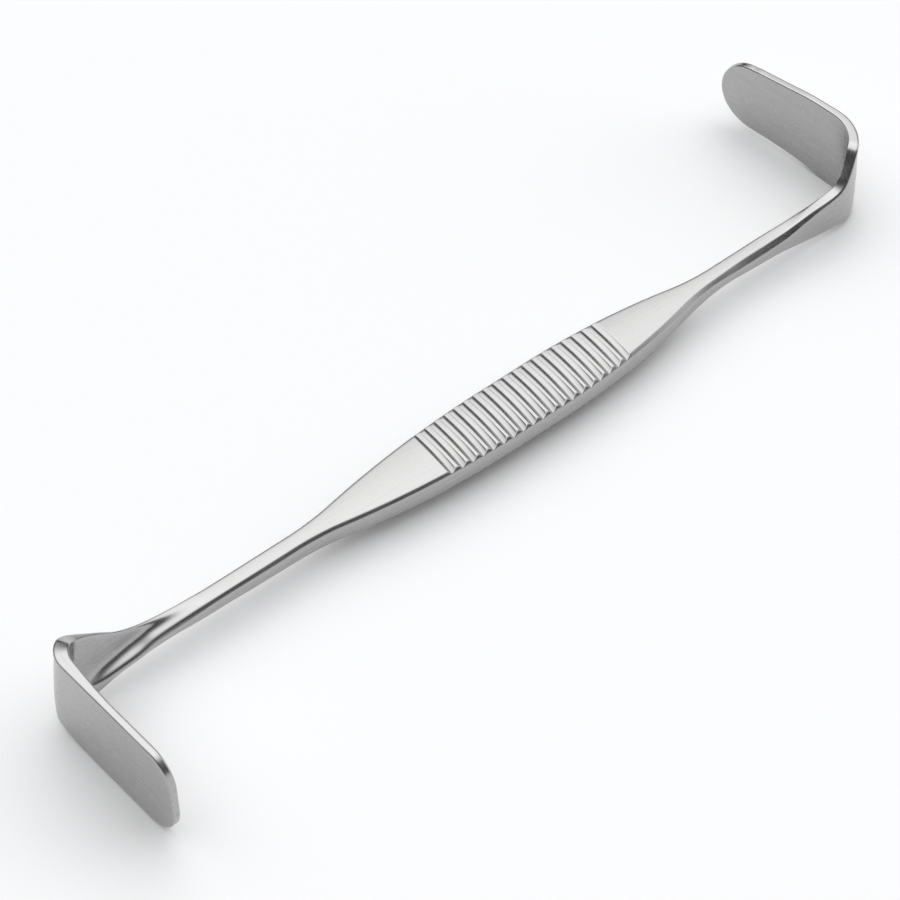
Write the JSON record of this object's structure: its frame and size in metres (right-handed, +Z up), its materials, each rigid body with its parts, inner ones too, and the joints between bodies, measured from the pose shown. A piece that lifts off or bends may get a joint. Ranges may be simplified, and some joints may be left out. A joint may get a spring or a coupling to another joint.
{
  "type": "handheld surgical retractor",
  "caption": "Double-ended handheld surgical retractor: a flat ribbed grip that tapers to slim shanks, each ending in a flat blade bent square, one wide and one narrow.",
  "frame": {"origin": "bottom centre of the tool's bounding box as it lies on its side: on the table, under the middle of the tool", "axes": "+X along the handle towards the narrow blade, +Y across it the way the narrow blade points, +Z up from the table, out of the ribbed grip's upper face"},
  "size_m": [0.1536, 0.0556, 0.0188],
  "materials": {
    "steel": "satin, brushed along the handle"
  },
  "bodies": {
    "root": {"retractor": "steel"}
  },
  "joints": []
}
